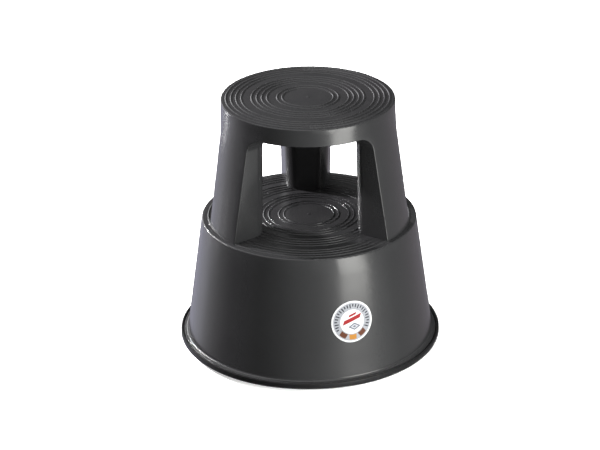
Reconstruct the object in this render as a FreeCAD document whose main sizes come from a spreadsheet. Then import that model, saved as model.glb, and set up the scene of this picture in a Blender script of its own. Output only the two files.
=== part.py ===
import FreeCAD, Part
import math
import os
import Sketcher

# Rolling kick-step stool: a conical drum with a lower tread, a top step on three
# hollow legs, a rubber ground ring, and three sprung castors inside the drum that
# lift the ring off the floor until someone steps on the stool.
#
# Frame: +Z up, origin on the floor under the centre of the stool, front towards -Y.
# Millimetres throughout.

V = FreeCAD.Vector
doc = FreeCAD.newDocument("step_stool")

# ---------------------------------------------------------------- sizes
SIZES = [
    # lower drum
    ("deck", 222.0, "height of the lower tread's flat"),
    ("deck_thick", 4.0, "thickness of the lower tread"),
    ("drum_top_radius", 179.4, "outer radius of the wall at the lower tread"),
    ("drum_foot_radius", 208.0, "outer radius of the wall at the flange"),
    ("flange_high", 16.2, "top of the foot flange"),
    ("flange_low", 13.0, "underside of the foot flange"),
    ("flange_radius", 214.2, "outer radius of the foot flange"),
    ("spigot_low", 8.5, "lower end of the wall below the flange"),
    ("wall", 3.1, "wall thickness of the drum"),
    ("rim_round", 3.0, "rounding of the lower tread's edge"),
    ("foot_round", 4.2, "hollow rounding between wall and flange"),
    # ridges
    ("ridge_pitch", 8.4, "radial distance between two ridges"),
    ("ridge_half", 1.75, "half of a ridge's width"),
    ("ridge_high", 1.25, "height of a ridge"),
    ("nub_radius", 2.6, "radius of the moulding mark in a tread's centre"),
    ("nub_high", 0.7, "height of the moulding mark"),
    # ground ring
    ("ring_radius", 220.0, "outer radius of the rubber ring"),
    ("ring_low", 5.5, "underside of the rubber ring above the floor"),
    ("ring_high", 17.4, "top of the rubber ring's bead"),
    ("ring_inner", 201.0, "inner radius of the rubber ring"),
    ("ring_seat", 12.8, "height of the ring's shelf below the flange"),
    ("bead_inner", 215.0, "inner radius of the bead"),
    # top step
    ("step", 431.8, "height of the top tread's flat"),
    ("step_thick", 4.0, "thickness of the top tread"),
    ("band_low", 402.5, "lower edge of the band"),
    ("band_top_radius", 143.2, "outer radius of the band at the top"),
    ("band_low_radius", 144.0, "outer radius of the band at its lower edge"),
    ("band_thick", 3.0, "thickness of the band"),
    ("band_round", 2.0, "rounding of the top tread's edge"),
    ("edge_round", 1.5, "small rounding of the legs' and the band's edges"),
    # legs
    ("leg_foot", 220.8, "height of the legs' foot plane"),
    ("leg_foot_radius", 170.7, "outer radius of the legs at the foot plane"),
    ("leg_inner", 99.0, "distance of a leg's inner face from the axis"),
    ("leg_foot_half", 42.4, "half of a leg's width at the foot, on its outer face"),
    ("leg_top_half", 45.0, "half of a leg's width at the band, on its outer face"),
    ("leg_side_slope", 0.15, "how much a leg widens towards the outside"),
    ("leg_corner", 24.0, "rounding of a leg's inner corners"),
    ("leg_wall", 3.0, "wall thickness of the legs"),
    ("leg_spread", 61.6, "angle from the front to the side legs"),
    ("window_corner", 25.0, "rounding of the windows' upper corners"),
    # leg screws
    ("boss_at", 126.0, "distance of the screw bosses from the axis"),
    ("boss_side", 29.0, "distance of the screw bosses from a leg's middle"),
    ("boss_radius", 6.0, "radius of a screw boss"),
    ("boss_long", 38.0, "height of a screw boss"),
    ("leg_screw_radius", 2.3, "mean thread radius of a leg screw"),
    ("seat_low", 213.0, "underside of the screw seats below the lower tread"),
    # ribs
    ("rib_thick", 2.5, "thickness of the ribs"),
    ("deck_rib_low", 200.0, "lower edge of the ribs below the lower tread"),
    ("step_rib_low", 413.0, "lower edge of the ribs below the top tread"),
    # castor towers
    ("castor_at", 152.0, "distance of the castors from the axis"),
    ("tower_radius", 22.0, "outer radius of a castor tower"),
    ("tower_bore", 18.0, "inner radius of a castor tower"),
    ("tower_low", 72.0, "lower end of a castor tower"),
    ("lug_at", 26.0, "distance of the housing screws from the castor's axis"),
    ("lug_radius", 5.2, "radius of the housing screws' bosses"),
    ("lug_high", 100.0, "upper end of the housing screws' bosses"),
    ("pilot_radius", 2.0, "radius of the holes for the housing screws"),
    # castor housing
    ("housing_flange", 32.0, "radius of the housing's flange"),
    ("housing_flange_low", 68.5, "underside of the housing's flange"),
    ("housing_barrel", 13.5, "outer radius of the housing's barrel"),
    ("housing_mouth", 56.0, "lower end of the housing"),
    ("housing_top", 112.0, "upper end of the housing"),
    ("pot_radius", 10.0, "radius of the spring pot"),
    ("pot_top", 86.0, "top of the spring pot"),
    ("guide_radius", 4.05, "radius of the guide bore"),
    # castor
    ("stem_radius", 4.0, "radius of the stem"),
    ("stem_low", 27.0, "lower end of the stem"),
    ("stem_top", 118.0, "upper end of the stem"),
    ("collar_low", 45.3, "underside of the stem's collar"),
    ("collar_high", 48.3, "top of the stem's collar"),
    ("collar_radius", 8.4, "radius of the stem's collar"),
    ("washer_thick", 1.2, "thickness of the spring washer"),
    ("spring_radius", 7.3, "mean radius of the spring"),
    ("spring_wire", 0.9, "radius of the spring's wire"),
    ("wheel_radius", 20.0, "radius of a wheel"),
    ("wheel_in", 8.7, "inner side of a wheel from the hood's middle"),
    ("wheel_out", 18.5, "outer side of a wheel from the hood's middle"),
    ("trail", 15.0, "distance of the axle from the stem's axis"),
    ("axle_radius", 3.0, "radius of the axle"),
    ("hood_half", 7.6, "half of the hood's middle block"),
    ("fender_out", 24.0, "outer radius of the fender"),
    ("fender_in", 21.8, "inner radius of the fender"),
    ("fender_half", 19.5, "half of the fender's width"),
    ("hood_top", 45.0, "top of the hood's stem boss"),
    # label
    ("label_radius", 35.2, "radius of the round label"),
    ("label_thick", 0.25, "thickness of the round label"),
    ("label_high", 112.0, "height of the label's middle"),
    ("label_angle", 289.0, "direction of the label's middle"),
]

sheet = doc.addObject("Spreadsheet::Sheet", "Sizes")
for row, (alias, value, note) in enumerate(SIZES, start=1):
    sheet.set("A%d" % row, note)
    sheet.set("B%d" % row, str(value))
    sheet.setAlias("B%d" % row, alias)
doc.recompute()


class Dim:
    """A length that knows both its value and the sheet expression behind it."""

    def __init__(self, value, text):
        self.value = float(value)
        self.text = text

    def _join(self, other, sign, value):
        return Dim(value, "(%s %s %s)" % (self.text, sign, other.text))

    def __add__(self, other):
        other = dim(other)
        return self._join(other, "+", self.value + other.value)

    def __radd__(self, other):
        return dim(other) + self

    def __sub__(self, other):
        other = dim(other)
        return self._join(other, "-", self.value - other.value)

    def __rsub__(self, other):
        return dim(other) - self

    def __mul__(self, other):
        other = dim(other)
        return self._join(other, "*", self.value * other.value)

    def __rmul__(self, other):
        return dim(other) * self

    def __truediv__(self, other):
        other = dim(other)
        return self._join(other, "/", self.value / other.value)

    def __rtruediv__(self, other):
        return dim(other) / self

    def __neg__(self):
        return Dim(-self.value, "(0 - %s)" % self.text)


def dim(x):
    return x if isinstance(x, Dim) else Dim(x, repr(float(x)))


def size(alias):
    return Dim(sheet.get(alias), "Sizes.%s" % alias)


derived = [len(SIZES) + 1]


def derive(alias, length):
    """Keep a worked-out length as a formula in the sheet and return its alias."""
    derived[0] += 1
    sheet.set("A%d" % derived[0], "worked out")
    sheet.set("B%d" % derived[0], "=" + length.text.replace("Sizes.", ""))
    sheet.setAlias("B%d" % derived[0], alias)
    sheet.recompute()
    got = float(sheet.get(alias))
    if abs(got - length.value) > 1e-6:
        raise RuntimeError("%s is %r in the sheet and %r here" % (alias, got, length.value))
    return Dim(length.value, "Sizes.%s" % alias)


def cosd(x):
    x = dim(x)
    return Dim(math.cos(math.radians(x.value)), "cos(%s)" % x.text)


def sind(x):
    x = dim(x)
    return Dim(math.sin(math.radians(x.value)), "sin(%s)" % x.text)


def root(x):
    return Dim(math.sqrt(x.value), "sqrt(%s)" % x.text)


def bind(obj, prop, length):
    setattr(obj, prop, dim(length).value)
    if "Sizes." in dim(length).text:
        obj.setExpression(prop, dim(length).text)


# ---------------------------------------------------------------- sketch helpers
def new_body(label):
    body = doc.addObject("PartDesign::Body", label)
    body.Label = label
    return body


def new_sketch(body, name, role, lift=None, turn=None, about=None, slide=None):
    """A sketch on one of the body's own origin planes, lifted and turned."""
    sk = body.newObject("Sketcher::SketchObject", name)
    plane = [f for f in body.Origin.OriginFeatures if f.Role == role][0]
    sk.AttachmentSupport = [(plane, "")]
    sk.MapMode = "FlatFace"
    base = slide if slide is not None else V(0, 0, 0)
    if lift is not None:
        base = V(base.x, base.y, dim(lift).value)
    rot = FreeCAD.Rotation(about or V(0, 0, 1), turn or 0.0)
    sk.AttachmentOffset = FreeCAD.Placement(base, rot)
    if lift is not None and "Sizes." in dim(lift).text:
        sk.setExpression(".AttachmentOffset.Base.z", dim(lift).text)
    return sk


def pin(sk, cons, exprs, geo, pos, x, y):
    """Fix one vertex at sheet-driven coordinates."""
    for kind, value, axis in (("DistanceX", dim(x), -2), ("DistanceY", dim(y), -1)):
        if abs(value.value) < 1e-9:
            cons.append(Sketcher.Constraint("PointOnObject", geo, pos, axis))
            exprs.append(None)
        elif value.value > 0:
            cons.append(Sketcher.Constraint(kind, -1, 1, geo, pos, value.value))
            exprs.append(value.text)
        else:
            cons.append(Sketcher.Constraint(kind, geo, pos, -1, 1, -value.value))
            exprs.append((-value).text)


def finish_sketch(sk, cons, exprs):
    first = len(sk.Constraints)
    sk.addConstraint(cons)
    for i, text in enumerate(exprs):
        if text is not None and "Sizes." in text:
            sk.setExpression("Constraints[%d]" % (first + i), text)


def loop(sk, pts, arcs=None):
    """Closed outline through pts; arcs maps a segment's number to (radius, side).
    side is +1 when the arc turns left on its way, -1 when it turns right."""
    arcs = arcs or {}
    n = len(pts)
    cons, exprs, segs = [], [], []
    for i in range(n):
        a, b = pts[i], pts[(i + 1) % n]
        ax, ay, bx, by = (dim(q).value for q in (a[0], a[1], b[0], b[1]))
        if i in arcs:
            radius, side = dim(arcs[i][0]), arcs[i][1]
            mx, my = (ax + bx) / 2, (ay + by) / 2
            half = math.hypot(bx - ax, by - ay) / 2
            rise = math.sqrt(max(radius.value ** 2 - half ** 2, 0.0))
            ux, uy = (bx - ax) / (2 * half), (by - ay) / (2 * half)
            cx, cy = mx - side * uy * rise, my + side * ux * rise
            circle = Part.Circle(V(cx, cy, 0), V(0, 0, 1), radius.value)
            a0 = math.atan2(ay - cy, ax - cx)
            a1 = math.atan2(by - cy, bx - cx)
            if side > 0:
                geo = sk.addGeometry(Part.ArcOfCircle(circle, a0, a1 if a1 > a0 else a1 + 2 * math.pi), False)
                segs.append((geo, 1, 2))
            else:
                geo = sk.addGeometry(Part.ArcOfCircle(circle, a1, a0 if a0 > a1 else a0 + 2 * math.pi), False)
                segs.append((geo, 2, 1))
            cons.append(Sketcher.Constraint("Radius", geo, radius.value))
            exprs.append(radius.text)
        else:
            geo = sk.addGeometry(Part.LineSegment(V(ax, ay, 0), V(bx, by, 0)), False)
            segs.append((geo, 1, 2))
    for i in range(n):
        g0, _, last = segs[i]
        g1, first, _ = segs[(i + 1) % n]
        cons.append(Sketcher.Constraint("Coincident", g0, last, g1, first))
        exprs.append(None)
    for i in range(n):
        geo, first, _ = segs[i]
        pin(sk, cons, exprs, geo, first, pts[i][0], pts[i][1])
    finish_sketch(sk, cons, exprs)


def ring_shape(sk, x, y, radius):
    geo = sk.addGeometry(Part.Circle(V(dim(x).value, dim(y).value, 0), V(0, 0, 1), dim(radius).value), False)
    cons = [Sketcher.Constraint("Radius", geo, dim(radius).value)]
    exprs = [dim(radius).text]
    pin(sk, cons, exprs, geo, 3, x, y)
    finish_sketch(sk, cons, exprs)


def box_shape(sk, x0, y0, x1, y1):
    loop(sk, [(x0, y0), (x1, y0), (x1, y1), (x0, y1)])


def volume(body):
    doc.recompute()
    return body.Shape.Volume


def revolve(body, sk, name, cut=False):
    before = volume(body) if body.Shape and not body.Shape.isNull() else 0.0
    kind = "PartDesign::Groove" if cut else "PartDesign::Revolution"
    feature = body.newObject(kind, name)
    feature.Profile = sk
    feature.ReferenceAxis = (sk, ["V_Axis"])
    feature.Angle = 360.0
    check_change(body, feature, before, cut)
    return feature


def extrude(body, sk, name, length, cut=False, reverse=False):
    before = volume(body) if body.Tip is not None and not body.Shape.isNull() else 0.0
    kind = "PartDesign::Pocket" if cut else "PartDesign::Pad"
    feature = body.newObject(kind, name)
    feature.Profile = sk
    bind(feature, "Length", length)
    feature.Reversed = reverse
    check_change(body, feature, before, cut)
    return feature


def check_change(body, feature, before, cut):
    after = volume(body)
    if cut and not after < before - 1e-6:
        raise RuntimeError("%s cuts nothing" % feature.Name)
    if not cut and not after > before + 1e-6:
        raise RuntimeError("%s adds nothing" % feature.Name)


def polar(body, originals, name, count):
    before = volume(body)
    pattern = body.newObject("PartDesign::PolarPattern", name)
    pattern.Originals = originals
    axis = [f for f in body.Origin.OriginFeatures if f.Role == "Z_Axis"][0]
    pattern.Axis = (axis, [""])
    pattern.Angle = 360.0
    pattern.Occurrences = count
    body.Tip = pattern
    after = volume(body)
    if abs(after - before) < 1e-6:
        raise RuntimeError("%s changes nothing" % name)
    return pattern


def round_edges(body, name, radius, pick):
    """Fillet the edges of the body's tip for which pick(edge) is true."""
    doc.recompute()
    tip = body.Tip
    edges = ["Edge%d" % (i + 1) for i, e in enumerate(tip.Shape.Edges) if pick(e)]
    if not edges:
        raise RuntimeError("%s finds no edge" % name)
    fillet = body.newObject("PartDesign::Fillet", name)
    fillet.Base = (tip, edges)
    bind(fillet, "Radius", radius)
    doc.recompute()
    if "Invalid" in fillet.State or "Error" in fillet.State or fillet.Shape.isNull() or not fillet.Shape.isValid():
        raise RuntimeError("%s fails" % name)
    return fillet


def circle_at(radius, z):
    def pick(e):
        c = e.Curve
        return isinstance(c, Part.Circle) and abs(c.Radius - radius) < 0.02 and abs(c.Center.z - z) < 0.02
    return pick


sub_parts = []


def keep(obj, label):
    obj.Label = label
    sub_parts.append(obj)
    return obj


def place(obj, x=0.0, y=0.0, z=0.0, turn=0.0):
    obj.Placement = FreeCAD.Placement(V(x, y, z), FreeCAD.Rotation(V(0, 0, 1), turn))


# ---------------------------------------------------------------- shared figures
deck, wall = size("deck"), size("wall")
slope = size("leg_side_slope")
slant = derive("slant", root(1 + slope * slope))
crease = derive("crease", size("band_low") + 2.0)
cone_fall = derive("cone_fall", (size("leg_foot_radius") - size("band_low_radius")) / (crease - size("leg_foot")))
foot_out = root(size("leg_foot_radius") * size("leg_foot_radius") - size("leg_foot_half") * size("leg_foot_half"))
top_out = root(size("band_low_radius") * size("band_low_radius") - size("leg_top_half") * size("leg_top_half"))
# where a leg's side line would cross the radius zero, at the foot and at the band
side_foot = derive("side_foot", size("leg_foot_half") - slope * foot_out)
side_top = derive("side_top", size("leg_top_half") - slope * top_out)
side_draft = derive("side_draft", (side_top - side_foot) / (crease - size("leg_foot")))
drum_fall = derive("drum_fall", (size("drum_foot_radius") - size("drum_top_radius")) / (deck - size("flange_high")))


def side_at(z):
    return side_foot + side_draft * (dim(z) - size("leg_foot"))


def cone_radius(z):
    """Outer radius of the legs' conical face at height z."""
    return size("leg_foot_radius") - cone_fall * (dim(z) - size("leg_foot"))


def drum_radius(z):
    """Outer radius of the drum's wall at height z."""
    return size("drum_top_radius") + drum_fall * (deck - dim(z))


LEGS = [
    ("back", dim(90.0)),
    ("left", 270.0 - size("leg_spread")),
    ("right", 270.0 + size("leg_spread")),
]
CASTORS = [("front", 270.0), ("right", 30.0), ("left", 150.0)]
OVER = 190.0


def spot(radius, angle, out=0.0, across=0.0):
    """Point at a radius and direction, then out and across in that direction's frame."""
    angle = dim(angle)
    r = dim(radius) + out
    return (r * cosd(angle) - dim(across) * sind(angle), r * sind(angle) + dim(across) * cosd(angle))


def ridges(body, name, floor, numbers):
    """Rounded ridges on a tread, each an upright bow on a small sunk root."""
    half, high = size("ridge_half"), size("ridge_high")
    bow = (half * half + high * high) / (2 * high)
    sk = new_sketch(body, name + "_sketch", "XZ_Plane")
    for n in numbers:
        mid = size("ridge_pitch") * n
        loop(sk, [(mid - half, floor - 0.6), (mid + half, floor - 0.6), (mid + half, floor), (mid - half, floor)],
             arcs={2: (bow, 1)})
    revolve(body, sk, name)


def nub(body, name, floor):
    r, high = size("nub_radius"), size("nub_high")
    sk = new_sketch(body, name + "_sketch", "XZ_Plane")
    loop(sk, [(0, floor - 0.6), (r, floor - 0.6), (r, floor + high * 0.3), (r * 0.6, floor + high), (0, floor + high)])
    revolve(body, sk, name)


low_in = derive("spigot_out", size("drum_foot_radius") + 0.2)
section_sizes = {}


def plan_section(key, z, grow, outer):
    """Work out a leg's cross-section at height z, grown on all sides but the outer
    one, whose bow has the radius outer, and keep its lengths in the sheet."""
    grow, outer = dim(grow), dim(outer)
    x_in = size("leg_inner") - grow
    corner = size("leg_corner") + grow
    side = derive(key + "_side", side_at(z) + grow * slant)
    x_mid = x_in + corner
    t_mid = derive(key + "_tmid", side + slope * x_mid - corner * slant)
    x_side = derive(key + "_xside", x_mid - corner * slope / slant)
    t_side = derive(key + "_tside", t_mid + corner / slant)
    x_out = derive(key + "_xout", (root(outer * outer * (1 + slope * slope) - side * side) - slope * side)
                   / (1 + slope * slope))
    t_out = derive(key + "_tout", side + slope * x_out)
    section_sizes[key] = (x_in, corner, t_mid, x_side, t_side, x_out, t_out, outer)


leg_foot, leg_head = size("leg_foot"), size("band_low") + 6.0
inside = size("band_low_radius") - size("band_thick")
lw = size("leg_wall")
plan_section("leg_low", leg_foot, 0.0, OVER + 10.0)
plan_section("leg_high", leg_head, 0.0, OVER + 10.0)
plan_section("recess", leg_foot, 0.35, size("leg_foot_radius") + 0.35)
plan_section("opening", size("band_low"), size("window_corner") + 1.0, OVER + 10.0)
plan_section("core_low", leg_foot - 2.0, -lw, cone_radius(leg_foot - 2.0) - lw)
plan_section("core_high", crease, -lw, size("band_low_radius") - lw)
plan_section("core_top", crease, -lw, inside - 0.6)


def leg_section(body, name, z, angle, key):
    """Sketch of a planned cross-section, laid at height z and turned to a leg."""
    sk = new_sketch(body, name, "XY_Plane", lift=z, turn=dim(angle).value)
    if "Sizes." in dim(angle).text:
        sk.setExpression(".AttachmentOffset.Rotation.Angle", dim(angle).text + " * 1deg")
    x_in, corner, t_mid, x_side, t_side, x_out, t_out, outer = section_sizes[key]
    loop(sk, [(x_in, -t_mid), (x_side, -t_side), (x_out, -t_out), (x_out, t_out), (x_side, t_side), (x_in, t_mid)],
         arcs={0: (corner, 1), 2: (outer, 1), 4: (corner, 1)})
    return sk


def leg_loft(body, name, z0, z1, angle, key):
    a = leg_section(body, name + "_low", z0, angle, key + "_low")
    b = leg_section(body, name + "_high", z1, angle, key + "_high")
    before = volume(body) if body.Tip is not None and not body.Shape.isNull() else 0.0
    loft = body.newObject("PartDesign::AdditiveLoft", name)
    loft.Profile = a
    loft.Sections = [b]
    loft.Ruled = True
    check_change(body, loft, before, False)
    return loft


# ---------------------------------------------------------------- lower drum
drum = new_body("lower_drum")
shell = new_sketch(drum, "drum_profile", "XZ_Plane")
loop(shell, [
    (0, deck - size("deck_thick")),
    (drum_radius(deck - size("deck_thick")) - wall, deck - size("deck_thick")),
    (low_in - wall, size("spigot_low")),
    (low_in, size("spigot_low")),
    (low_in, size("flange_low")),
    (size("flange_radius"), size("flange_low")),
    (size("flange_radius"), size("flange_high")),
    (size("drum_foot_radius"), size("flange_high")),
    (size("drum_top_radius"), deck),
    (0, deck),
])
revolve(drum, shell, "drum_shell")
round_edges(drum, "rim_rounding", size("rim_round"), circle_at(size("drum_top_radius").value, deck.value))
round_edges(drum, "foot_rounding", size("foot_round"),
            circle_at(size("drum_foot_radius").value, size("flange_high").value))
round_edges(drum, "flange_rounding", 1.2, lambda e: circle_at(size("flange_radius").value, size("flange_high").value)(e)
            or circle_at(size("flange_radius").value, size("flange_low").value)(e))
ridges(drum, "deck_ridges", deck, [5, 6, 8, 9, 10, 12, 13, 14, 15, 17, 18, 19, 20])
nub(drum, "deck_nub", deck)

# recesses for the three legs' feet
for leg, angle in LEGS:
    sk = leg_section(drum, leg + "_recess_sketch", deck + size("ridge_high") + 1.0, angle, "recess")
    extrude(drum, sk, leg + "_recess", deck + size("ridge_high") + 1.0 - size("leg_foot") + 0.05, cut=True)

# ribs below the deck
rib = new_sketch(drum, "deck_rib_sketch", "XZ_Plane")
rib_low = size("deck_rib_low")
loop(rib, [(29.0, rib_low), (drum_radius(rib_low) - wall * 0.5, rib_low),
           (drum_radius(deck - 3.0) - wall * 0.5, deck - 3.0), (29.0, deck - 3.0)])
before = volume(drum)
deck_rib = drum.newObject("PartDesign::Pad", "deck_rib")
deck_rib.Profile = rib
bind(deck_rib, "Length", size("rib_thick"))
deck_rib.Midplane = True
check_change(drum, deck_rib, before, False)
polar(drum, [deck_rib], "deck_ribs", 12)
hoops = new_sketch(drum, "deck_hoop_sketch", "XZ_Plane")
for r in (29.0, 95.0):
    box_shape(hoops, r, rib_low, r + size("rib_thick"), deck - 3.0)
revolve(drum, hoops, "deck_hoops")

# castor towers, open downwards, with bosses and holes for the housing screws
towers = new_sketch(drum, "tower_sketch", "XY_Plane", lift=size("tower_low"))
lugs = new_sketch(drum, "lug_sketch", "XY_Plane", lift=size("tower_low"))
pilots = new_sketch(drum, "pilot_sketch", "XY_Plane", lift=size("tower_low") - 1.0)
for name, angle in CASTORS:
    cx, cy = spot(size("castor_at"), angle)
    ring_shape(towers, cx, cy, size("tower_radius"))
    ring_shape(towers, cx, cy, size("tower_bore"))
    for turn in (180.0, 60.0, -60.0):
        lx = cx + size("lug_at") * cosd(angle + turn)
        ly = cy + size("lug_at") * sind(angle + turn)
        ring_shape(lugs, lx, ly, size("lug_radius"))
        ring_shape(pilots, lx, ly, size("pilot_radius"))
extrude(drum, towers, "towers", deck - 3.0 - size("tower_low"))
extrude(drum, lugs, "lugs", size("lug_high") - size("tower_low"))
extrude(drum, pilots, "pilots", size("lug_high") - size("tower_low") - 3.0, cut=True, reverse=True)
gusset = new_sketch(drum, "gusset_sketch", "XZ_Plane", turn=-90.0, about=V(0, 1, 0))
g_in = size("castor_at") + size("tower_bore") + 2.0
loop(gusset, [(g_in, 92.0), (g_in + 6.0, 92.0), (drum_radius(110.0) - wall * 0.5, 110.0),
              (drum_radius(deck - 3.0) - wall * 0.5, deck - 3.0), (g_in, deck - 3.0)])
before = volume(drum)
web = drum.newObject("PartDesign::Pad", "gusset")
web.Profile = gusset
bind(web, "Length", size("rib_thick"))
web.Midplane = True
check_change(drum, web, before, False)
polar(drum, [web], "gussets", 3)

# seats and holes for the leg screws
seats = new_sketch(drum, "seat_sketch", "XY_Plane", lift=size("seat_low"))
holes = new_sketch(drum, "hole_sketch", "XY_Plane", lift=size("seat_low") - 1.0)
for leg, angle in LEGS:
    for sign in (-1.0, 1.0):
        bx, by = spot(size("boss_at"), angle, across=size("boss_side") * sign)
        ring_shape(seats, bx, by, 8.0)
        ring_shape(holes, bx, by, 2.8)
extrude(drum, seats, "seats", deck - 3.0 - size("seat_low"))
extrude(drum, holes, "holes", 14.0, cut=True, reverse=True)
keep(drum, "lower_drum")

# ---------------------------------------------------------------- ground ring
ring = new_body("ground_ring")
sk = new_sketch(ring, "ring_profile", "XZ_Plane")
g0, g1 = low_in - wall - 1.2, low_in + 0.4
loop(sk, [
    (size("ring_inner"), size("ring_low")),
    (size("ring_radius"), size("ring_low")),
    (size("ring_radius"), size("ring_high")),
    (size("bead_inner"), size("ring_high")),
    (size("bead_inner"), size("ring_seat")),
    (g1, size("ring_seat")),
    (g1, size("spigot_low") - 0.3),
    (g0, size("spigot_low") - 0.3),
    (g0, size("ring_seat")),
    (size("ring_inner"), size("ring_seat")),
])
revolve(ring, sk, "ring_band")
round_edges(ring, "ring_nose", 5.0, circle_at(size("ring_radius").value, size("ring_low").value))
round_edges(ring, "ring_shoulder", 2.3, lambda e: circle_at(size("ring_radius").value, size("ring_high").value)(e)
            or circle_at(size("bead_inner").value, size("ring_high").value)(e))
round_edges(ring, "ring_inside", 1.5, lambda e: circle_at(size("ring_inner").value, size("ring_low").value)(e)
            or circle_at(size("ring_inner").value, size("ring_seat").value)(e))
keep(ring, "ground_ring")

# ---------------------------------------------------------------- top step
# the outer form: a thick disc and three legs, blended, then trimmed to the cone
step = size("step")
form = new_body("step_form")
sk = new_sketch(form, "disc_profile", "XZ_Plane")
loop(sk, [(0, size("band_low")), (OVER, size("band_low")), (OVER, step), (0, step)])
revolve(form, sk, "disc")
for leg, angle in LEGS:
    leg_loft(form, leg + "_leg", leg_foot, leg_head, angle, "leg")
low_z = size("band_low").value


def blend_edge(e):
    zs = [p.z for p in e.discretize(7)]
    if max(abs(z - low_z) for z in zs) > 0.01:
        return False
    return min(math.hypot(p.x, p.y) for p in e.discretize(7)) < OVER - 0.1


round_edges(form, "window_corners", size("window_corner"), blend_edge)
trim = new_sketch(form, "trim_profile", "XZ_Plane")
loop(trim, [(cone_radius(size("leg_foot") - 5.0), size("leg_foot") - 5.0), (OVER + 20.0, size("leg_foot") - 5.0),
            (OVER + 20.0, step + 5.0), (size("band_top_radius"), step + 5.0), (size("band_top_radius"), step),
            (size("band_low_radius"), crease)])
revolve(form, trim, "trim", cut=True)
round_edges(form, "tread_rounding", size("band_round"), circle_at(size("band_top_radius").value, step.value))


def on_cone(e):
    """Edges where the legs' sides and the windows' tops meet the conical face."""
    pts = e.discretize(9)
    if max(p.z for p in pts) > low_z + 0.01 or max(p.z for p in pts) < size("leg_foot").value + 0.1:
        return False
    return all(abs(math.hypot(p.x, p.y) - cone_radius(p.z).value) < 0.05 for p in pts)


round_edges(form, "edge_rounding", size("edge_round"), on_cone)
ridges(form, "step_ridges", step, [5, 6, 8, 9, 10, 11, 13, 14, 15, 16])
nub(form, "step_nub", step)

# what is hollow below the top tread: a shallow space round the legs, open in the middle
under = step - size("step_thick")
hollow = new_body("step_hollow")
sk = new_sketch(hollow, "hollow_profile", "XZ_Plane")
loop(sk, [(0, size("band_low") + 3.0), (inside, size("band_low") + 3.0), (inside - 0.5, under), (0, under)])
revolve(hollow, sk, "hollow_disc")
opening = new_body("step_opening")
sk = new_sketch(opening, "opening_profile", "XZ_Plane")
loop(sk, [(0, size("band_low") - 3.0), (inside, size("band_low") - 3.0), (inside, size("band_low") + 4.0),
          (0, size("band_low") + 4.0)])
revolve(opening, sk, "opening_disc")
for leg, angle in LEGS:
    sk = leg_section(hollow, leg + "_keep_sketch", step, angle, "leg_high")
    extrude(hollow, sk, leg + "_keep", 40.0, cut=True)
    sk = leg_section(opening, leg + "_rim_sketch", step, angle, "opening")
    extrude(opening, sk, leg + "_rim", 40.0, cut=True)

# hollow legs, open at the foot
cores = new_body("leg_cores")
cores.AllowCompound = True
for leg, angle in LEGS:
    leg_loft(cores, leg + "_core", leg_foot - 2.0, crease, angle, "core")
    sk = leg_section(cores, leg + "_core_top", crease - 1.0, angle, "core_top")
    extrude(cores, sk, leg + "_core_up", under - crease + 1.0)

# ribs below the top tread, and the screw bosses in the legs' feet
ribs = new_body("step_ribs")
ribs.AllowCompound = True
sk = new_sketch(ribs, "step_hoops", "XZ_Plane")
for r in (14.0, 62.0):
    box_shape(sk, r, size("step_rib_low"), r + size("rib_thick"), under + 1.0)
revolve(ribs, sk, "hoops")
sk = new_sketch(ribs, "step_rib_sketch", "XZ_Plane")
loop(sk, [(15.0, size("step_rib_low")), (inside + 1.0, size("step_rib_low")), (inside + 1.0, under + 1.0),
          (15.0, under + 1.0)])
before = volume(ribs)
step_rib = ribs.newObject("PartDesign::Pad", "step_rib")
step_rib.Profile = sk
bind(step_rib, "Length", size("rib_thick"))
step_rib.Midplane = True
check_change(ribs, step_rib, before, False)
polar(ribs, [step_rib], "step_ribs_all", 12)
sk = new_sketch(ribs, "boss_sketch", "XY_Plane", lift=size("leg_foot"))
for leg, angle in LEGS:
    for sign in (-1.0, 1.0):
        bx, by = spot(size("boss_at"), angle, across=size("boss_side") * sign)
        ring_shape(sk, bx, by, size("boss_radius"))
        ring_shape(sk, bx, by, size("leg_screw_radius") + 0.05)
extrude(ribs, sk, "bosses", size("boss_long"))

voids = doc.addObject("Part::MultiFuse", "step_voids")
voids.Shapes = [hollow, opening, cores]
shell_cut = doc.addObject("Part::Cut", "step_shell")
shell_cut.Base = form
shell_cut.Tool = voids
top = doc.addObject("Part::Fuse", "top_step")
top.Base = shell_cut
top.Tool = ribs
doc.recompute()
keep(top, "top_step")

# ---------------------------------------------------------------- screws and washers


def screw(label, x, y, low, head_radius, head_high, shank_radius, shank_long):
    """Pan-head screw pointing up, head low at height low, with a cross recess."""
    b = new_body(label)
    p = new_sketch(b, label + "_profile", "XZ_Plane")
    loop(p, [(0, 0), (dim(head_radius) - 0.9, 0), (head_radius, 0.9), (head_radius, head_high),
             (shank_radius, head_high), (shank_radius, dim(shank_long) + head_high - 2.0),
             (0.3, dim(shank_long) + head_high), (0, dim(shank_long) + head_high)])
    revolve(b, p, label + "_turned")
    p = new_sketch(b, label + "_cross", "XY_Plane", lift=-0.2)
    a, c = 0.5, 2.1
    loop(p, [(-c, -a), (-a, -a), (-a, -c), (a, -c), (a, -a), (c, -a), (c, a), (a, a), (a, c), (-a, c), (-a, a), (-c, a)])
    extrude(b, p, label + "_recess", 1.5, cut=True, reverse=True)
    place(b, x, y, low)
    return b


def group(label, members):
    g = doc.addObject("Part::Compound", label)
    g.Links = members
    return keep(g, label)


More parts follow.
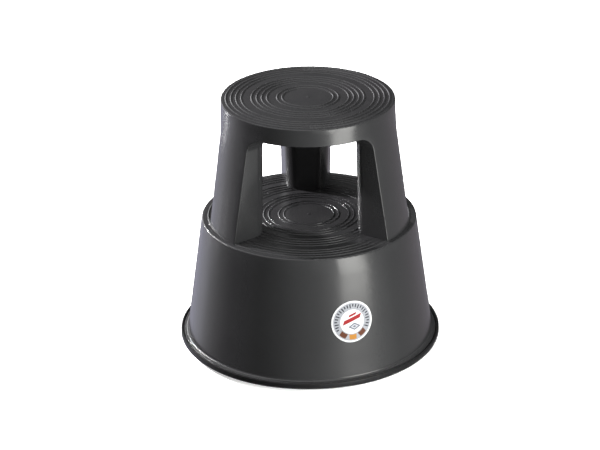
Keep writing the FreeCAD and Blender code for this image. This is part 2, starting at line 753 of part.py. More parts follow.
screws, washers, small = [], [], []
for leg, angle in LEGS:
    for side, sign in (("a", -1.0), ("b", 1.0)):
        bx, by = spot(size("boss_at"), angle, across=size("boss_side") * sign)
        low = size("seat_low").value - 0.05
        screws.append(screw("leg_screw_%s_%s" % (leg, side), bx.value, by.value, low - 1.2 - 0.05 - 3.0,
                            4.8, 3.0, size("leg_screw_radius"), 36.0))
        w = new_body("washer_%s_%s" % (leg, side))
        p = new_sketch(w, w.Name + "_sketch", "XY_Plane")
        ring_shape(p, 0, 0, 6.5)
        ring_shape(p, 0, 0, 2.65)
        extrude(w, p, w.Name + "_pad", 1.2)
        place(w, bx.value, by.value, low - 1.2)
        washers.append(w)
for name, angle in CASTORS:
    cx, cy = spot(size("castor_at"), angle)
    for k, turn in enumerate((180.0, 60.0, -60.0)):
        lx = (cx + size("lug_at") * cosd(angle + turn)).value
        ly = (cy + size("lug_at") * sind(angle + turn)).value
        small.append(screw("castor_screw_%s_%d" % (name, k), lx, ly, size("housing_flange_low").value - 2.65,
                           4.0, 2.6, size("pilot_radius") - 0.05, 24.0))
group("leg_screws", screws)
group("leg_washers", washers)
group("castor_screws", small)

# ---------------------------------------------------------------- castors


def housing(label, x, y, angle):
    b = new_body(label)
    p = new_sketch(b, label + "_profile", "XZ_Plane")
    bar, fl = size("housing_barrel"), size("housing_flange")
    lo, hi = size("housing_flange_low"), size("tower_low") - 0.05
    loop(p, [(size("pot_radius"), size("housing_mouth")), (bar, size("housing_mouth")), (bar, lo), (fl, lo), (fl, hi),
             (bar, hi), (bar, size("pot_top") + 2.5), (9.0, size("housing_top")), (size("guide_radius"), size("housing_top")),
             (size("guide_radius"), size("pot_top")), (size("pot_radius"), size("pot_top"))])
    revolve(b, p, label + "_turned")
    p = new_sketch(b, label + "_holes", "XY_Plane", lift=lo - 1.0)
    for turn in (180.0, 60.0, -60.0):
        lx, ly = size("lug_at") * cosd(turn), size("lug_at") * sind(turn)
        ring_shape(p, lx, ly, size("pilot_radius") + 0.3)
    extrude(b, p, label + "_drilled", 8.0, cut=True, reverse=True)
    round_edges(b, label + "_soft", 0.8, lambda e: circle_at(fl.value, lo.value)(e) or circle_at(bar.value, size("housing_mouth").value)(e))
    place(b, x, y, 0.0, angle)
    return keep(b, label)


def spring(label, x, y):
    b = new_body(label)
    low = size("collar_high") + size("washer_thick") + 0.1
    wire = size("spring_wire")
    high = size("pot_top") - low - 2 * wire - 0.1
    p = new_sketch(b, label + "_wire", "XZ_Plane")
    ring_shape(p, size("spring_radius"), low + wire, wire)
    coil = b.newObject("PartDesign::AdditiveHelix", label + "_coil")
    coil.Profile = p
    coil.ReferenceAxis = (p, ["V_Axis"])
    coil.Mode = "height-turns-angle"
    bind(coil, "Height", high)
    coil.Turns = 6.5
    coil.Angle = 0.0
    coil.LeftHanded = False
    coil.Reversed = False
    doc.recompute()
    place(b, x, y)
    return keep(b, label)


def stem(label, x, y):
    b = new_body(label)
    r, c = size("stem_radius"), size("collar_radius")
    g0, g1 = size("housing_top") + 0.15, size("housing_top") + 1.5
    p = new_sketch(b, label + "_profile", "XZ_Plane")
    loop(p, [(0, size("stem_low")), (r - 0.8, size("stem_low")), (r, size("stem_low") + 0.8), (r, size("collar_low")),
             (c, size("collar_low")), (c, size("collar_high")), (r, size("collar_high")), (r, g0), (r - 0.7, g0),
             (r - 0.7, g1), (r, g1), (r, size("stem_top") - 1.0), (r - 1.0, size("stem_top")), (0, size("stem_top"))])
    revolve(b, p, label + "_turned")
    place(b, x, y)
    return keep(b, label)


def flat_ring(label, x, y, inner, outer, low, thick, gap=None):
    b = new_body(label)
    p = new_sketch(b, label + "_sketch", "XY_Plane", lift=low)
    ring_shape(p, 0, 0, outer)
    ring_shape(p, 0, 0, inner)
    extrude(b, p, label + "_pad", thick)
    if gap is not None:
        p = new_sketch(b, label + "_gap", "XY_Plane", lift=low - 1.0)
        box_shape(p, dim(gap) * -0.5, dim(inner) * -2.6, dim(gap) * 0.5, 0.0)
        extrude(b, p, label + "_open", dim(thick) + 2.0, cut=True, reverse=True)
    place(b, x, y)
    return keep(b, label)


def hood(label, x, y):
    """Castor body: middle block, fender over both wheels and a boss for the stem."""
    b = new_body(label)
    back, axle = size("trail"), size("wheel_radius")
    p = new_sketch(b, label + "_side", "YZ_Plane")
    loop(p, [(-8.0, 24.0), (7.0, 10.0), (23.0, 10.0), (33.0, 20.0), (31.5, 33.0), (22.0, 41.0), (8.0, size("hood_top")),
             (-8.0, size("hood_top"))])
    block = b.newObject("PartDesign::Pad", label + "_block")
    block.Profile = p
    bind(block, "Length", size("hood_half") * 2)
    block.Midplane = True
    doc.recompute()
    # fender: a bow over the wheels
    fo, fi = size("fender_out"), size("fender_in")
    a0, a1 = dim(-18.0), dim(186.0)
    p = new_sketch(b, label + "_bow", "YZ_Plane")
    loop(p, [(back + fo * cosd(a0), axle + fo * sind(a0)), (back, axle + fo),
             (back + fo * cosd(a1), axle + fo * sind(a1)),
             (back + fi * cosd(a1), axle + fi * sind(a1)), (back, axle + fi), (back + fi * cosd(a0), axle + fi * sind(a0))],
         arcs={0: (fo, 1), 1: (fo, 1), 3: (fi, -1), 4: (fi, -1)})
    bow = b.newObject("PartDesign::Pad", label + "_fender")
    bow.Profile = p
    bind(bow, "Length", size("fender_half") * 2)
    bow.Midplane = True
    doc.recompute()
    p = new_sketch(b, label + "_boss_sketch", "XY_Plane", lift=24.0)
    ring_shape(p, 0, 0, 8.0)
    extrude(b, p, label + "_boss", size("hood_top") - 24.0)
    p = new_sketch(b, label + "_bore_sketch", "XY_Plane", lift=size("hood_top") + 1.0)
    ring_shape(p, 0, 0, size("stem_radius") + 0.06)
    extrude(b, p, label + "_bore", size("hood_top") + 1.0 - size("stem_low") + 0.3, cut=True)
    p = new_sketch(b, label + "_pin_sketch", "YZ_Plane")
    ring_shape(p, back, axle, size("axle_radius") + 0.06)
    pin_hole = b.newObject("PartDesign::Pocket", label + "_pin_hole")
    pin_hole.Profile = p
    bind(pin_hole, "Length", size("hood_half") * 2 + 4.0)
    pin_hole.Midplane = True
    before = b.Shape.Volume
    doc.recompute()
    if not b.Shape.Volume < before:
        raise RuntimeError(label + " pin hole cuts nothing")
    place(b, x, y)
    return keep(b, label)


def turned_aside(obj, x, y, z, way):
    obj.Placement = FreeCAD.Placement(V(x, y, z), FreeCAD.Rotation(V(0, 0, 1), V(way, 0, 0)))


def axle(label, x, y):
    b = new_body(label)
    r, half = size("axle_radius"), size("wheel_out") - 0.4
    p = new_sketch(b, label + "_profile", "XZ_Plane")
    loop(p, [(0, -half), (r - 0.5, -half), (r, 0.5 - half), (r, half - 0.5), (r - 0.5, half), (0, half)])
    revolve(b, p, label + "_turned")
    turned_aside(b, x, y + size("trail").value, size("wheel_radius").value, 1)
    return keep(b, label)


def wheel(label, x, y, way):
    b = new_body(label)
    r, thick, bore = size("wheel_radius"), size("wheel_out") - size("wheel_in"), size("axle_radius") + 0.03
    p = new_sketch(b, label + "_profile", "XZ_Plane")
    loop(p, [(bore, 0), (r, 0), (r, thick), (r - 4.2, thick), (r - 5.2, thick - 3.6), (7.4, thick - 3.6),
             (6.6, thick - 0.9), (bore, thick - 0.9)])
    revolve(b, p, label + "_turned")
    round_edges(b, label + "_tread", 2.0, lambda e: circle_at(r.value, 0.0)(e) or circle_at(r.value, thick.value)(e))
    turned_aside(b, x + way * size("wheel_in").value, y + size("trail").value, r.value, way)
    return keep(b, label)


for name, angle in CASTORS:
    cx, cy = (q.value for q in spot(size("castor_at"), angle))
    housing(name + "_castor_housing", cx, cy, angle)
    spring(name + "_castor_spring", cx, cy)
    stem(name + "_castor_stem", cx, cy)
    flat_ring(name + "_spring_washer", cx, cy, size("stem_radius") + 0.35, 9.5, size("collar_high") + 0.05,
              size("washer_thick"))
    flat_ring(name + "_stem_clip", cx, cy, size("stem_radius") - 0.6, 7.0, size("housing_top") + 0.2, 1.2, gap=5.2)
    hood(name + "_castor_hood", cx, cy)
    axle(name + "_castor_axle", cx, cy)
    wheel(name + "_castor_wheel_a", cx, cy, -1)
    wheel(name + "_castor_wheel_b", cx, cy, 1)

# ---------------------------------------------------------------- label
skin = new_body("label_skin")
sk = new_sketch(skin, "label_profile", "XZ_Plane")
l0, l1 = size("label_high") - 45.0, size("label_high") + 45.0
loop(sk, [(drum_radius(l0) + 0.3, l0), (drum_radius(l0) + 0.3 + size("label_thick"), l0),
          (drum_radius(l1) + 0.3 + size("label_thick"), l1), (drum_radius(l1) + 0.3, l1)])
revolve(skin, sk, "label_cone")
punch = doc.addObject("Part::Cylinder", "label_punch")
bind(punch, "Radius", size("label_radius"))
punch.Height = 60.0
tilt = math.atan(drum_fall.value)
la = math.radians(size("label_angle").value)
out = V(math.cos(la) * math.cos(tilt), math.sin(la) * math.cos(tilt), math.sin(tilt))
mid = V(drum_radius(size("label_high")).value * math.cos(la), drum_radius(size("label_high")).value * math.sin(la),
        size("label_high").value)
punch.Placement = FreeCAD.Placement(mid - out * 30.0, FreeCAD.Rotation(V(0, 0, 1), out))
patch = doc.addObject("Part::Common", "round_label")
patch.Base = skin
patch.Tool = punch
doc.recompute()
keep(patch, "round_label")

# ---------------------------------------------------------------- checks and files
doc.recompute()
for obj in doc.Objects:
    if "Invalid" in obj.State or "Error" in obj.State:
        raise RuntimeError("%s does not recompute" % obj.Label)
for obj in sub_parts:
    if obj.Shape.isNull() or not obj.Shape.isValid():
        raise RuntimeError("%s has no sound shape" % obj.Label)
os.makedirs("parts", exist_ok=True)
for obj in sub_parts:
    obj.Shape.exportStep("parts/%s.step" % obj.Label)
    print("%-26s solids %d volume %.1f" % (obj.Label, len(obj.Shape.Solids), obj.Shape.Volume))
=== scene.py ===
import bpy
import math
from mathutils import Matrix, Vector


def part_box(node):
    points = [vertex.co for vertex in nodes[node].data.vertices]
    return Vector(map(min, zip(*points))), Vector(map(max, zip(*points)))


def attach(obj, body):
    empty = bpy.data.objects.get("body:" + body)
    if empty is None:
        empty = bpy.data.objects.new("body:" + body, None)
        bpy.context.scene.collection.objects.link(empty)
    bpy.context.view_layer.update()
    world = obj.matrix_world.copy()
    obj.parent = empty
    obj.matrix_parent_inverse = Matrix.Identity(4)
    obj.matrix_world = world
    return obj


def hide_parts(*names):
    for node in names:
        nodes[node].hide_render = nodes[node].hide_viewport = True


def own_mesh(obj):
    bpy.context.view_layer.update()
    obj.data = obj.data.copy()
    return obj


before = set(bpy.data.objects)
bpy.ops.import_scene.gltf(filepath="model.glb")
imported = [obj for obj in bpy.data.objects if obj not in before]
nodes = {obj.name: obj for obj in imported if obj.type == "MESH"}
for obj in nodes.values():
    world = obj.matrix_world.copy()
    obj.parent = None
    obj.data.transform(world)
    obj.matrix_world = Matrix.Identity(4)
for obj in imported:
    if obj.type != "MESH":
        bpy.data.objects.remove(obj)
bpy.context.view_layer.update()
scene = bpy.context.scene

# A rolling step stool: charcoal plastic drum and top step, black rubber foot ring,
# castors inside the drum. +Z up, front towards -Y, metres.


# ------------------------------------------------------------------ node helpers
class Graph:
    """Small helper that builds a shader tree one node at a time."""

    def __init__(self, tree):
        self.tree = tree
        tree.nodes.clear()

    def add(self, kind, **props):
        n = self.tree.nodes.new(kind)
        for k, v in props.items():
            setattr(n, k, v)
        return n

    def link(self, a, b):
        self.tree.links.new(a, b)

    def put(self, socket, value):
        if isinstance(value, bpy.types.NodeSocket):
            self.link(value, socket)
        else:
            socket.default_value = value

    def math(self, op, a, b=None, c=None, clamp=False):
        n = self.add("ShaderNodeMath", operation=op, use_clamp=clamp)
        self.put(n.inputs[0], a)
        if b is not None:
            self.put(n.inputs[1], b)
        if c is not None:
            self.put(n.inputs[2], c)
        return n.outputs[0]

    def vmath(self, op, a, b=None):
        n = self.add("ShaderNodeVectorMath", operation=op)
        self.put(n.inputs[0], a)
        if b is not None:
            self.put(n.inputs[1], b)
        return n.outputs["Value"] if op in ("DOT_PRODUCT", "LENGTH") else n.outputs["Vector"]

    def noise(self, vector, scale, detail=3.0, rough=0.55, dims="3D"):
        n = self.add("ShaderNodeTexNoise", noise_dimensions=dims)
        self.put(n.inputs["Vector"], vector)
        n.inputs["Scale"].default_value = scale
        n.inputs["Detail"].default_value = detail
        n.inputs["Roughness"].default_value = rough
        return n.outputs["Fac"]

    def span(self, value, a, b, c=0.0, d=1.0, kind="LINEAR"):
        n = self.add("ShaderNodeMapRange", interpolation_type=kind)
        self.put(n.inputs[0], value)
        for i, v in enumerate((a, b, c, d)):
            self.put(n.inputs[i + 1], v)
        return n.outputs[0]

    def mix(self, fac, a, b, blend="MIX"):
        n = self.add("ShaderNodeMix", data_type="RGBA", blend_type=blend)
        self.put(n.inputs[0], fac)
        self.put(n.inputs[6], a)
        self.put(n.inputs[7], b)
        return n.outputs[2]

    def ramp(self, fac, stops, kind="LINEAR"):
        n = self.add("ShaderNodeValToRGB")
        n.color_ramp.interpolation = kind
        el = n.color_ramp.elements
        while len(el) > 1:
            el.remove(el[-1])
        el[0].position, el[0].color = stops[0][0], (*stops[0][1], 1.0)
        for p, c in stops[1:]:
            e = el.new(p)
            e.color = (*c, 1.0)
        self.put(n.inputs[0], fac)
        return n.outputs[0]

    def bump(self, height, strength, distance, normal=None):
        n = self.add("ShaderNodeBump")
        n.inputs["Strength"].default_value = strength
        n.inputs["Distance"].default_value = distance
        self.put(n.inputs["Height"], height)
        if normal is not None:
            self.link(normal, n.inputs["Normal"])
        return n.outputs["Normal"]


def material(name):
    m = bpy.data.materials.new(name)
    m.use_nodes = True
    g = Graph(m.node_tree)
    bsdf = g.add("ShaderNodeBsdfPrincipled")
    out = g.add("ShaderNodeOutputMaterial")
    g.link(bsdf.outputs[0], out.inputs[0])
    where = g.add("ShaderNodeTexCoord").outputs["Object"]
    return m, g, bsdf, where


def dress(node, *mats):
    o = nodes[node]
    o.data.materials.clear()
    for m in mats:
        o.data.materials.append(m)
    for p in o.data.polygons:
        p.material_index = 0


# ------------------------------------------------------------------ materials
def moulded_plastic(name, dark, light, rough, grain=1.0, dust=0.0):
    """Satin moulded plastic: slightly uneven pigment, faint flow marks, a fine skin,
    and a little dust where it faces up."""
    m, g, bsdf, where = material(name)
    cloud = g.noise(where, 9.0, 4.0)
    speck = g.noise(where, 900.0, 2.0)
    tone = g.math("ADD", g.math("MULTIPLY", cloud, 0.7), g.math("MULTIPLY", speck, 0.3))
    colour = g.mix(g.span(tone, 0.3, 0.7), (*dark, 1.0), (*light, 1.0))
    if dust:
        geo = g.add("ShaderNodeNewGeometry")
        sep = g.add("ShaderNodeSeparateXYZ")
        g.link(geo.outputs["Normal"], sep.inputs[0])
        up = g.span(sep.outputs[2], 0.75, 1.0)
        spread = g.span(g.noise(where, 26.0, 5.0, 0.65), 0.42, 0.75)
        amount = g.math("MULTIPLY", g.math("MULTIPLY", up, spread), dust)
        colour = g.mix(amount, colour, (0.16, 0.155, 0.15, 1.0))
    g.link(colour, bsdf.inputs["Base Color"])
    patch = g.noise(where, 14.0, 3.0)
    g.link(g.span(patch, 0.3, 0.7, rough - 0.03, rough + 0.03), bsdf.inputs["Roughness"])
    skin = g.noise(where, 1500.0, 2.0)
    g.link(g.bump(skin, 0.08 * grain, 0.0001), bsdf.inputs["Normal"])
    return m


body_plastic = moulded_plastic("charcoal_plastic", (0.0140, 0.0140, 0.0146), (0.0172, 0.0172, 0.0179), 0.24, dust=0.03)
castor_plastic = moulded_plastic("castor_plastic", (0.012, 0.012, 0.013), (0.017, 0.017, 0.018), 0.38, 1.6)
wheel_plastic = moulded_plastic("wheel_plastic", (0.045, 0.045, 0.048), (0.065, 0.065, 0.068), 0.5, 2.0)


def rubber(name):
    m, g, bsdf, where = material(name)
    fine = g.noise(where, 700.0, 3.0)
    broad = g.noise(where, 18.0, 4.0)
    tone = g.span(g.math("ADD", g.math("MULTIPLY", fine, 0.4), g.math("MULTIPLY", broad, 0.6)), 0.35, 0.65)
    g.link(g.mix(tone, (0.004, 0.004, 0.0042, 1.0), (0.007, 0.007, 0.0072, 1.0)), bsdf.inputs["Base Color"])
    g.link(g.span(broad, 0.3, 0.7, 0.36, 0.46), bsdf.inputs["Roughness"])
    bsdf.inputs["Specular IOR Level"].default_value = 0.24
    g.link(g.bump(fine, 0.25, 0.0002), bsdf.inputs["Normal"])
    return m


black_rubber = rubber("black_rubber")


def zinc(name, rough, low, high):
    m, g, bsdf, where = material(name)
    stretch = g.add("ShaderNodeMapping")
    stretch.inputs["Scale"].default_value = (1.0, 1.0, 9.0)
    g.link(where, stretch.inputs["Vector"])
    lines = g.noise(stretch.outputs[0], 220.0, 3.0)
    cells = g.add("ShaderNodeTexVoronoi")
    g.link(where, cells.inputs["Vector"])
    cells.inputs["Scale"].default_value = 420.0
    tone = g.math("ADD", g.math("MULTIPLY", lines, 0.6), g.math("MULTIPLY", cells.outputs["Distance"], 0.4))
    g.link(g.mix(g.span(tone, 0.25, 0.75), (*low, 1.0), (*high, 1.0)), bsdf.inputs["Base Color"])
    bsdf.inputs["Metallic"].default_value = 1.0
    g.link(g.span(lines, 0.3, 0.7, rough - 0.06, rough + 0.08), bsdf.inputs["Roughness"])
    g.link(g.bump(lines, 0.12, 0.0001), bsdf.inputs["Normal"])
    return m


zinc_steel = zinc("zinc_steel", 0.32, (0.46, 0.46, 0.48), (0.66, 0.66, 0.67))
spring_steel = zinc("spring_steel", 0.26, (0.30, 0.30, 0.31), (0.48, 0.48, 0.49))

# the label: plain printed film, drawn round its own middle
LABEL_Z, LABEL_AZ = 0.112, 289.0
lo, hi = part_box("round_label")
fall = (0.208 - 0.1794) / (0.222 - 0.0162)
tilt = math.atan(fall)
az = math.radians(LABEL_AZ)
radius = 0.1794 + fall * (0.222 - LABEL_Z)
centre = Vector((radius * math.cos(az), radius * math.sin(az), LABEL_Z))
across = Vector((-math.sin(az), math.cos(az), 0.0))
upward = Vector((-math.cos(az) * math.sin(tilt), -math.sin(az) * math.sin(tilt), math.cos(tilt)))


def label_film():
    m, g, bsdf, where = material("label_film")
    rel = g.vmath("SUBTRACT", where, tuple(centre))
    u = g.vmath("DOT_PRODUCT", rel, tuple(across))
    v = g.vmath("DOT_PRODUCT", rel, tuple(upward))
    u = g.math("MULTIPLY", u, 1000.0)
    v = g.math("MULTIPLY", v, 1000.0)
    r = g.math("SQRT", g.math("ADD", g.math("MULTIPLY", u, u), g.math("MULTIPLY", v, v)))
    angle = g.math("ARCTAN2", v, u)

    def soft(value, edge, width=0.12):
        return g.span(value, edge - width, edge + width)

    def band(value, a, b, width=0.12):
        return g.math("MULTIPLY", soft(value, a, width), g.math("SUBTRACT", 1.0, soft(value, b, width)))

    white = (0.52, 0.52, 0.53, 1.0)
    colour = g.mix(g.noise(where, 400.0), white, (0.49, 0.49, 0.50, 1.0))
    # grey ring with plain marks of three lengths round the upper part
    ring = band(r, 20.6, 32.4)
    colour = g.mix(ring, colour, (0.225, 0.23, 0.25, 1.0))
    step = math.radians(360.0 / 36)
    turn = g.math("DIVIDE", g.math("ADD", angle, math.pi), step)
    cell = g.math("SUBTRACT", g.math("FRACT", turn), 0.5)
    mark = g.math("SUBTRACT", 1.0, g.span(g.math("ABSOLUTE", cell), 0.20, 0.27))
    third = g.math("FRACT", g.math("DIVIDE", g.math("FLOOR", turn), 3.0))
    low_end = g.math("ADD", 23.2, g.math("MULTIPLY", third, 3.6))
    marks = g.math("MULTIPLY", mark, g.math("MULTIPLY", g.span(g.math("SUBTRACT", r, low_end), -0.15, 0.15),
                                            g.math("SUBTRACT", 1.0, soft(r, 30.2))))
    upper = g.math("GREATER_THAN", v, -13.5)
    colour = g.mix(g.math("MULTIPLY", marks, upper), colour, (0.014, 0.016, 0.022, 1.0))
    # three amber blocks in the lower part of the ring
    for a in (-128.0, -90.0, -52.0):
        c, s = math.cos(math.radians(a)), math.sin(math.radians(a))
        along = g.math("ABSOLUTE", g.math("ADD", g.math("MULTIPLY", u, -s), g.math("MULTIPLY", v, c)))
        out = g.math("ADD", g.math("MULTIPLY", u, c), g.math("MULTIPLY", v, s))
        block = g.math("MULTIPLY", g.math("SUBTRACT", 1.0, soft(along, 6.2)), band(r, 22.2, 30.6))
        block = g.math("MULTIPLY", block, g.math("GREATER_THAN", out, 0.0))
        colour = g.mix(block, colour, (0.29, 0.125, 0.018, 1.0) if a == -90.0 else (0.060, 0.016, 0.005, 1.0))
    # middle: two red slanted bars and a grey lozenge
    su = g.math("SUBTRACT", u, g.math("MULTIPLY", v, 0.35))
    lean = g.math("SUBTRACT", v, g.math("MULTIPLY", u, 0.32))
    for low, high, left, right in ((0.6, 7.4, -15.0, 12.0), (9.6, 13.2, -9.0, 2.5)):
        bar = g.math("MULTIPLY", band(lean, low, high), band(su, left, right))
        colour = g.mix(bar, colour, (0.19, 0.004, 0.006, 1.0))
    du = g.math("DIVIDE", g.math("SUBTRACT", u, 3.5), 11.0)
    dv = g.math("DIVIDE", g.math("ADD", v, 8.6), 6.4)
    lozenge = g.math("ADD", g.math("ABSOLUTE", du), g.math("ABSOLUTE", dv))
    colour = g.mix(g.math("SUBTRACT", 1.0, soft(lozenge, 1.0, 0.03)), colour, (0.095, 0.10, 0.125, 1.0))
    colour = g.mix(g.math("MULTIPLY", g.math("SUBTRACT", 1.0, soft(lozenge, 0.62, 0.04)), soft(lozenge, 0.30, 0.04)), colour, (0.34, 0.345, 0.37, 1.0))
    g.link(colour, bsdf.inputs["Base Color"])
    g.link(g.span(g.noise(where, 120.0), 0.3, 0.7, 0.34, 0.44), bsdf.inputs["Roughness"])
    bsdf.inputs["Specular IOR Level"].default_value = 0.25
    g.link(g.bump(g.noise(where, 250.0), 0.05, 0.0001), bsdf.inputs["Normal"])
    return m


film = label_film()

for name in nodes:
    if name in ("top_step", "lower_drum"):
        dress(name, body_plastic)
    elif name == "ground_ring":
        dress(name, black_rubber)
    elif name == "round_label":
        dress(name, film)
    elif name.endswith(("_wheel_a", "_wheel_b")):
        dress(name, wheel_plastic)
    elif name.endswith(("_housing", "_hood")):
        dress(name, castor_plastic)
    elif name.endswith("_spring"):
        dress(name, spring_steel)
    else:
        dress(name, zinc_steel)


# ------------------------------------------------------------------ castor springs
def coil_spring(name, node):
    """Round wire wound round the stem, its end turns closed."""
    low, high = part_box(node)
    wire = 0.0009
    cx, cy = (low[0] + high[0]) / 2, (low[1] + high[1]) / 2
    mean = (high[0] - low[0]) / 2 - wire
    foot, head = low[2] + wire, high[2] - wire
    turns, dead, per_turn, sides = 6.5, 0.8, 40, 12
    closed = dead * 2.1 * wire
    steps = int(turns * per_turn)
    verts, faces = [], []
    for i in range(steps + 1):
        t = turns * i / steps
        if t < dead:
            z = foot + closed * t / dead
        elif t > turns - dead:
            z = head - closed * (turns - t) / dead
        else:
            k = (t - dead) / (turns - 2 * dead)
            k = 0.8 * k + 0.2 * k * k * (3 - 2 * k)
            z = foot + closed + (head - foot - 2 * closed) * k
        a = 2 * math.pi * t
        for j in range(sides):
            b = 2 * math.pi * j / sides
            r = mean + wire * math.cos(b)
            verts.append((cx + r * math.cos(a), cy + r * math.sin(a), z + wire * math.sin(b)))
    for i in range(steps):
        for j in range(sides):
            k = (j + 1) % sides
            faces.append((i * sides + j, i * sides + k, (i + 1) * sides + k, (i + 1) * sides + j))
    faces.append(tuple(range(sides)))
    faces.append(tuple(steps * sides + j for j in reversed(range(sides))))
    data = bpy.data.meshes.new(name)
    data.from_pydata(verts, [], faces)
    for p in data.polygons:
        p.use_smooth = len(p.vertices) == 4
    data.materials.append(spring_steel)
    o = bpy.data.objects.new(name, data)
    scene.collection.objects.link(o)
    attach(o, "stool")
    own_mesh(o)
    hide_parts(node)
    return o


for side_name in ("front", "right", "left"):
    coil_spring(side_name + "_coil_spring", side_name + "_castor_spring")


# ------------------------------------------------------------------ smooth shading
def smooth_group():
    t = bpy.data.node_groups.new("soften", "GeometryNodeTree")
    t.interface.new_socket("Geometry", in_out="INPUT", socket_type="NodeSocketGeometry")
    t.interface.new_socket("Geometry", in_out="OUTPUT", socket_type="NodeSocketGeometry")
    a, b = t.nodes.new("NodeGroupInput"), t.nodes.new("NodeGroupOutput")
    merge = t.nodes.new("GeometryNodeMergeByDistance")
    merge.inputs["Distance"].default_value = 2e-6
    faces = t.nodes.new("GeometryNodeSetShadeSmooth")
    faces.domain = "FACE"
    faces.inputs["Shade Smooth"].default_value = True
    edges = t.nodes.new("GeometryNodeSetShadeSmooth")
    edges.domain = "EDGE"
    edges.inputs["Shade Smooth"].default_value = False
    bend = t.nodes.new("GeometryNodeInputMeshEdgeAngle")
    test = t.nodes.new("ShaderNodeMath")
    test.operation = "GREATER_THAN"
    test.inputs[1].default_value = math.radians(26.0)
    t.links.new(a.outputs[0], merge.inputs[0])
    t.links.new(merge.outputs[0], faces.inputs[0])
    t.links.new(faces.outputs[0], edges.inputs[0])
    t.links.new(bend.outputs[0], test.inputs[0])
    t.links.new(test.outputs[0], edges.inputs["Selection"])
    t.links.new(edges.outputs[0], b.inputs[0])
    return t


soften = smooth_group()
for o in nodes.values():
    mod = o.modifiers.new("soften", "NODES")
    mod.node_group = soften

# ------------------------------------------------------------------ floor, light, camera
TURN = math.radians(-1.6)
spin = Matrix.Rotation(TURN, 4, "Z")

fm, g, bsdf, where = material("studio_floor")
pale = g.mix(g.noise(where, 3.0), (0.86, 0.86, 0.86, 1.0), (0.88, 0.88, 0.88, 1.0))
# the paper bounces less light up than it shows
bounce = g.math("MULTIPLY", g.add("ShaderNodeLightPath").outputs["Is Diffuse Ray"], 0.85)
g.link(g.mix(bounce, pale, (0.0, 0.0, 0.0, 1.0)), bsdf.inputs["Base Color"])
bsdf.inputs["Roughness"].default_value = 0.9
bsdf.inputs["Specular IOR Level"].default_value = 0.0
# it stays pale out to the horizon, and from below it is clear, so that the underside shows
away = g.vmath("LENGTH", where)
shown = g.add("ShaderNodeLightPath").outputs["Is Camera Ray"]
bsdf.inputs["Emission Color"].default_value = (1.0, 1.0, 1.0, 1.0)
g.link(g.math("MULTIPLY", g.span(away, 0.30, 2.2, 0.52, 1.0), shown), bsdf.inputs["Emission Strength"])
clear = g.add("ShaderNodeBsdfTransparent")
pane = g.add("ShaderNodeMixShader")
g.link(g.add("ShaderNodeNewGeometry").outputs["Backfacing"], pane.inputs[0])
g.link(bsdf.outputs[0], pane.inputs[1])
g.link(clear.outputs[0], pane.inputs[2])
g.link(pane.outputs[0], [n for n in g.tree.nodes if n.type == "OUTPUT_MATERIAL"][0].inputs[0])
mesh = bpy.data.meshes.new("studio_floor")
mesh.from_pydata([(-15, -15, 0), (15, -15, 0), (15, 15, 0), (-15, 15, 0)], [], [(0, 1, 2, 3)])
floor = bpy.data.objects.new("studio_floor", mesh)
floor.location.z = -0.0002
scene.collection.objects.link(floor)
mesh.materials.append(fm)
floor.visible_glossy = False
floor.visible_shadow = False


def polar_point(azimuth, elevation, distance):
    a, e = math.radians(azimuth), math.radians(elevation)
    return spin @ Vector((distance * math.cos(e) * math.cos(a), distance * math.cos(e) * math.sin(a),
                          distance * math.sin(e)))


def softbox(name, at, aim, width, height, power, colour=(1, 1, 1), spread=180.0):
    d = bpy.data.lights.new(name, "AREA")
    d.shape = "RECTANGLE"
    d.size, d.size_y = width, height
    d.energy = power
    d.color = colour
    d.spread = math.radians(spread)
    o = bpy.data.objects.new(name, d)
    o.location = at
    o.rotation_mode = "QUATERNION"
    o.rotation_quaternion = (Vector(aim) - at).to_track_quat("-Z", "Y")
    o.visible_camera = False
    scene.collection.objects.link(o)
    return o


# overhead sheet of light: lights the floor, not mirrored
softbox("overhead", Vector((-0.3, -0.2, 2.9)), (0, 0, 0.2), 2.4, 2.4, 72.0).visible_glossy = False
# upright softbox at the front right, foot just under the floor line: the broad streak on wall and band
softbox("front_right", polar_point(312.0, 0.0, 1.0) + Vector((0, 0, 0.34)), (0, 0, 0.34), 0.47, 0.74, 8.4,
        (1.0, 0.995, 0.955)).visible_diffuse = False
# fill from the front right: lights the left leg's inner side and the right of the wall
softbox("right_fill", polar_point(311.0, 9.0, 1.6) + Vector((0, 0, 0.25)), (0, 0, 0.25), 0.4, 0.8, 52.0,
        (0.98, 1.0, 0.97)).visible_glossy = False
# key from the back left, under the top step: shadows of the legs on the lower tread
softbox("key", polar_point(156.0, 31.0, 2.2), (0, 0, 0.25), 0.14, 0.14, 190.0, (1.0, 0.97, 1.0)).visible_glossy = False
# long low strip behind the left shoulder: the pale line on the drum's rim
strip = softbox("back_left", polar_point(153.0, 30.0, 2.1), (0, 0, 0.2), 1.7, 0.13, 25.0, (0.98, 0.99, 1.0))
strip.visible_diffuse = False
# a lower, squarer light nearer the back: the pale flanks of the ridges
softbox("back_glow", polar_point(120.0, 19.0, 2.2), (0, 0, 0.2), 0.8, 0.7, 3.8, (0.98, 0.99, 1.0)).visible_diffuse = False
# three lamps at the left: the sparks on the rim
lamps = [softbox("lamp_%d" % i, polar_point(a, 30.0, 2.2), (0, 0, 0.2), 0.05, 0.10, watts)
         for i, (a, watts) in enumerate(((130.0, 11.0), (142.0, 9.0), (158.0, 8.0)))]
for o in lamps:
    o.visible_diffuse = False
# slim strips near the left wall: the faint upright streaks below the sparks
for i, (a, watts) in enumerate(((166.0, 0.006), (177.5, 0.006))):
    at = polar_point(a, 0.0, 0.46) + Vector((0, 0, 0.155))
    softbox("streak_%d" % i, at, (0, 0, 0.155), 0.007, 0.11, watts).visible_diffuse = False
